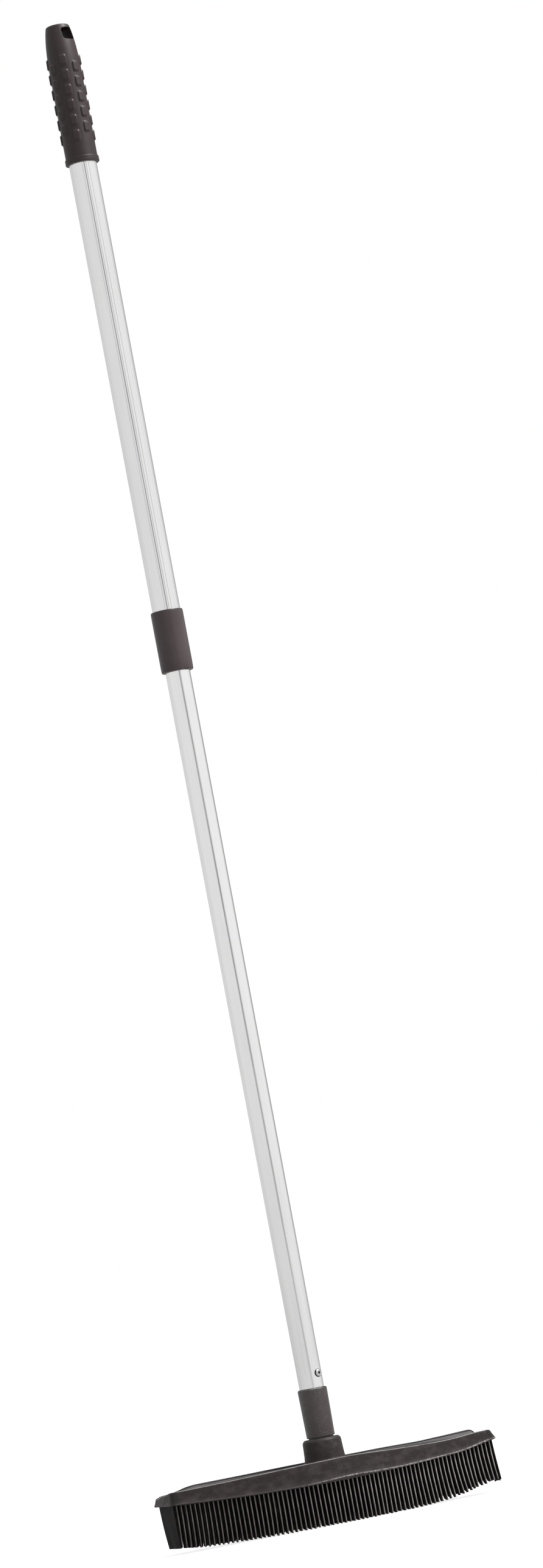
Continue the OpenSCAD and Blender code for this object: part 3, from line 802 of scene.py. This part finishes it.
def make_row(k, rng):
    """Comb strip: a rail and a row of teeth. A tooth is one section carried down a line that
    bends away with the square of the depth, thinning towards its tip."""
    count = int((2 * ROW_HALF - RAIL_END) // TOOTH_PITCH) + 1 - (k + 1) % 2
    x0 = (np.arange(count) - (count - 1) / 2) * TOOTH_PITCH * ROW_SPREAD + ROW_SHIFTS[k - 1]
    top = rim_z(x0) + RIM_LIP - RAIL_H + TOOTH_SINK
    uneven, most_uneven, last_short = 0.25, 0.6, 1.2
    low = tip_z(x0) + np.abs(rng.normal(0, uneven, count))
    low = np.where(np.abs(x0) < TIP_LEVEL, np.minimum(low, most_uneven), low)
    low = low + last_short * smooth(np.abs(x0), 132, 142)
    depth = np.array([0.0, 0.0, 0.35, 0.7, 0.93, 1.0, 1.0])
    width = np.array([0.0, 1.0, 0.98, 0.95, 0.9, 0.75, 0.0]) * TOOTH_W
    thick = np.array([0.0, 1.0, 0.99, 0.97, 0.93, 0.85, 0.0]) * TOOTH_T
    # the teeth lean in loose groups, and the last ones at the right fan out
    group, group_lean, own_lean, fan_right, fan_left = 7, 0.8, 0.16, 2.6, 1.2
    grouped = np.convolve(rng.normal(0, 1, count + group - 1), np.ones(group) / group, "valid")
    lean_x = group_lean * grouped + rng.normal(0, own_lean, count) + fan_right * smooth(x0, 20, 128)
    lean_x -= fan_left * smooth(-x0, 20, 140)
    worn_patch = smooth(x0, 96, 104) * (1 - smooth(x0, 122, 130))
    lean_x += worn_patch * rng.uniform(-1.3, 1.3, count)
    lean_y = rng.normal(0, 0.25, count)
    s = depth[None, :, None]
    cx = x0[:, None, None] + lean_x[:, None, None] * s ** 2
    cy = row_y(k, x0)[:, None, None] + lean_y[:, None, None] * s ** 2
    cz = top[:, None, None] + (low - top)[:, None, None] * s
    face_turn = np.arctan(BOW_SLOPE * x0 / np.hypot(x0, BOW_ROUND) * (1 - (k - 1) / (ROWS - 1)))
    ca, sa = np.cos(face_turn)[:, None, None], np.sin(face_turn)[:, None, None]
    u = TOOTH_SECTION[None, None, :, 0] * width[None, :, None]
    v = TOOTH_SECTION[None, None, :, 1] * thick[None, :, None]
    points = np.stack([cx + u * ca - v * sa, cy + u * sa + v * ca, cz + 0 * u], -1)
    levels, ring = len(depth), len(TOOTH_SECTION)
    faces = grid_faces(levels, ring, False, True)
    faces = (faces[None] + (np.arange(count) * levels * ring)[:, None, None]).reshape(-1, 4)
    # painted highlight on the worn edges: full on the front of the first strip, half on the back of
    # the last one, faint elsewhere
    wear_and_highlight = TOOTH_SECTION[:, 2] * np.where(TOOTH_SECTION[:, 1] < 0, 1.0 if k == 1 else 0.2,
                                          0.5 if k == ROWS else 0.2)
    tone = np.broadcast_to(wear_and_highlight, points.shape[:3]) * (1 - 0.35 * s)
    rail_points, rail_faces = rail_strip(k, points.size // 3)
    piece = build(f"comb_strip_{k}", np.vstack([points.reshape(-1, 3), rail_points]),
                  np.vstack([faces, rail_faces]),
                  np.concatenate([tone.ravel(), np.zeros(len(rail_points))]))
    fit(piece, "broom", "comb_rubber", COMB_RUBBER, f"bristle_row_{k}")


def rail_strip(k, start):
    """The rail of a comb strip: a rounded box section carried along the strip's line."""
    x = np.linspace(-ROW_HALF, ROW_HALF, 120) * ROW_SPREAD
    section = np.array([(-0.5, 0.0), (-0.44, 1.0), (0.44, 1.0), (0.5, 0.0)])
    y = row_y(k, x)[:, None] + section[None, :, 0] * (TOOTH_T + 0.2)
    z = rim_z(x)[:, None] + RIM_LIP - RAIL_H * section[None, :, 1]
    points = np.stack([np.broadcast_to(x[:, None], y.shape), y, z], -1)
    points = close_ends(points)
    return points.reshape(-1, 3), grid_faces(len(points), len(section), False, True, start=start)


def make_end_blades(rng):
    """A broad blade across each end: a thin panel, narrower at its tip, bowed by use; the
    right one splays outwards with the last teeth."""
    low_y, high_y = blade_low[1], blade_high[1]
    narrowed, tip_drop, ragged_by, splay_by, bow_by, ripple_by = 9.0, 0.4, 0.5, 2.4, 0.5, 0.3
    points, faces, start = [], [], 0
    for side in (-1, 1):
        x0 = side * (blade_high[0] - PANEL_HALF_T + PANEL_OUT)
        s = np.linspace(0, 1, 14)
        t = np.linspace(0, 1, 22)
        ss, tt = np.meshgrid(s, t, indexing="ij")
        top, low = rim_z(x0) + RIM_LIP, tip_z(x0) - tip_drop
        z = top + (low - top) * ss
        back = high_y - narrowed * ss ** 1.2
        y = low_y + (back - low_y) * tt
        ragged = ragged_by * rng.normal(0, 1, t.shape) * (side > 0)
        z = z + ragged[None, :] * ss ** 6 * 1.6
        splay = splay_by * ss ** 1.4 if side > 0 else -bow_by * np.sin(ss * 3.0)
        ripple = ripple_by * np.sin(tt * 9 + ss * 2) * ss
        x = x0 + splay + ripple
        half_t = PANEL_HALF_T - 0.25 * ss
        skins = [np.stack([x + half_t, y, z], -1), np.stack([x - half_t, y, z], -1)]
        rows, cols = ss.shape
        rim = [(i, 0) for i in range(rows)] + [(rows - 1, j) for j in range(1, cols)]
        rim += [(i, cols - 1) for i in range(rows - 2, -1, -1)]
        rim += [(0, j) for j in range(cols - 2, 0, -1)]
        for n, skin in enumerate(skins):
            points.append(skin.reshape(-1, 3))
            faces.append(grid_faces(rows, cols, start=start + n * rows * cols))
        edge = np.array([i * cols + j for i, j in rim])
        following = np.roll(edge, -1)
        off = rows * cols
        faces.append(np.stack([edge, following, following + off, edge + off], -1) + start)
        start += 2 * rows * cols
    piece = build("end_panels", np.vstack(points), np.vstack(faces), np.zeros(start))
    fit(piece, "broom", "comb_rubber", COMB_RUBBER, "end_blades")


# ---------------------------------------------------------------- camera and light
def aim_camera():
    """Camera low over the floor in front of the head's left end, tilted up the pole and
    rolled so that the pole leans to the left."""
    azimuth, distance, height = np.radians(-17.348), 5.0, 0.2
    turn, tilt, roll = np.radians([0.724, 5.115, -10.665])
    lens = 130.4
    back = np.array([np.sin(azimuth), -np.cos(azimuth), 0])
    right, up = np.array([np.cos(azimuth), np.sin(azimuth), 0]), np.array([0, 0, 1.0])
    ahead = -back * np.cos(turn) + right * np.sin(turn)
    right = right * np.cos(turn) + back * np.sin(turn)
    look = ahead * np.cos(tilt) + up * np.sin(tilt)
    up = up * np.cos(tilt) - ahead * np.sin(tilt)
    right, up = right * np.cos(roll) + up * np.sin(roll), up * np.cos(roll) - right * np.sin(roll)
    data = bpy.data.cameras.new("camera")
    data.lens, data.sensor_fit, data.sensor_width = lens, "AUTO", 36.0
    data.clip_end = 50
    camera = bpy.data.objects.new("camera", data)
    bpy.context.scene.collection.objects.link(camera)
    turned = Matrix((right, up, -look)).transposed().to_4x4()
    place = Vector(back * distance + np.array([0, 0, height]))
    camera.matrix_world = Matrix.Translation(place) @ turned
    bpy.context.scene.camera = camera


def area_lamp(name, place, target, size, power):
    """Rectangular soft lamp at a place, turned to a target."""
    data = bpy.data.lights.new(name, "AREA")
    data.shape, data.size, data.size_y, data.energy = "RECTANGLE", size[0], size[1], power
    lamp = bpy.data.objects.new(name, data)
    bpy.context.scene.collection.objects.link(lamp)
    lamp.location = place
    lamp.rotation_euler = (Vector(target) - Vector(place)).to_track_quat("-Z", "Y").to_euler()


def light_studio():
    """A pale room for glossy surfaces, brighter on the right, dimmer behind and with one dim gap
    that the tubes mirror as a stripe; a dimmer one for matt surfaces; plain white where the
    camera looks past the broom; and one soft lamp high up on the right."""
    world = bpy.data.worlds.new("studio")
    bpy.context.scene.world = world
    world.use_nodes = True
    tree = world.node_tree
    tree.nodes.clear()
    f = Graph(tree)
    way = f.node("ShaderNodeTexCoord", out=0)
    split = f.node("ShaderNodeSeparateXYZ", None, {0: way})
    x, y = [Wire(f, split.socket.node.outputs[k]) for k in (0, 1)]
    gap_turn, gap_half, gap_dim = float(np.radians(-92.0)), 7.0, 0.62
    off = f.math("ABSOLUTE", f.math("ARCTAN2", y, x) - gap_turn) * float(180 / np.pi)
    gap = 1 - f.step(off, gap_half * 0.5, gap_half * 1.5)
    side = f.step(x, -0.5, 0.3, 0.83, 0.94)
    behind = f.step(y, 0.05, 0.7) * f.step(x, -0.3, 0.3, 0.1, 0.6)
    room = side - behind - gap * gap_dim
    fill = f.step(x, -0.8, 0.8, 0.22, 0.8)
    white, glossy = f.rays()
    lit = fill + (room - fill) * glossy
    strength = lit + (1 - lit) * white
    shade = f.node("ShaderNodeBackground", None, {"Color": (1, 1, 1, 1), "Strength": strength})
    out = tree.nodes.new("ShaderNodeOutputWorld")
    tree.links.new(shade.socket, out.inputs[0])
    area_lamp("key", (2.1, -1.5, 3.8), (0, 0, 0.3), (1.2, 1.2), 210)


def lay_floor():
    """Pale floor that glows to the camera until it reads as white, keeps a faint shadow and
    shows only a little of its glow in glossy surfaces."""
    f = Finish("pale_floor", roughness=0.9, specular=0.1)
    f.shader.inputs["Base Color"].default_value = (0.5, 0.5, 0.5, 1)
    white, glossy = f.rays()
    glow = f.mix(glossy, (0, 0, 0), (0.2, 0.2, 0.2))
    glow = f.mix(white, glow, (0.82, 0.82, 0.82))
    f.join(glow, f.shader.inputs["Emission Color"])
    f.shader.inputs["Emission Strength"].default_value = 1.0
    side = 30.0
    mesh = bpy.data.meshes.new("floor")
    corners = [(-side, -side, 0), (side, -side, 0), (side, side, 0), (-side, side, 0)]
    mesh.from_pydata(corners, [], [(0, 1, 2, 3)])
    floor = bpy.data.objects.new("floor", mesh)
    floor.data.materials.append(f.material)
    bpy.context.scene.collection.objects.link(floor)


def finish_nodes():
    """A finish for every CAD node, both the ones that show and the ones that a piece replaces."""
    finishes = {
        "head_core": CORE_PLASTIC, "collar_bush": BUSH_PLASTIC, "cam_core": LOCK_PLASTIC,
        "cam_ring": RING_PLASTIC, "guide_washer": WASHER_METAL, "cam_screw": WASHER_METAL,
        "rivet_mandrel": MANDREL_METAL, "rivet": RIVET_METAL, "grip": GRIP_PLASTIC,
        "collar": COLLAR_PLASTIC, "thread_adapter": SPARK_PLASTIC, "outer_tube": FLUTED_METAL,
        "inner_tube": SMOOTH_METAL, "head_cover": COVER_RUBBER, "squeegee_blade": BLADE_RUBBER,
        "end_blades": COMB_RUBBER}
    finishes.update({f"bristle_row_{k}": COMB_RUBBER for k in range(1, ROWS + 1)})
    for node, material in finishes.items():
        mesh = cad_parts[node].data
        mesh.materials.clear()
        mesh.materials.append(material)


bpy.context.scene.view_settings.view_transform = "Standard"
aim_camera()
light_studio()
lay_floor()
finish_nodes()
make_outer_tube()
make_inner_tube()
make_collar()
make_adapter()
make_rivet()
make_grip()
make_cover()
make_lip()
random = np.random.default_rng(7)
for row in range(1, ROWS + 1):
    make_row(row, random)
make_end_blades(random)
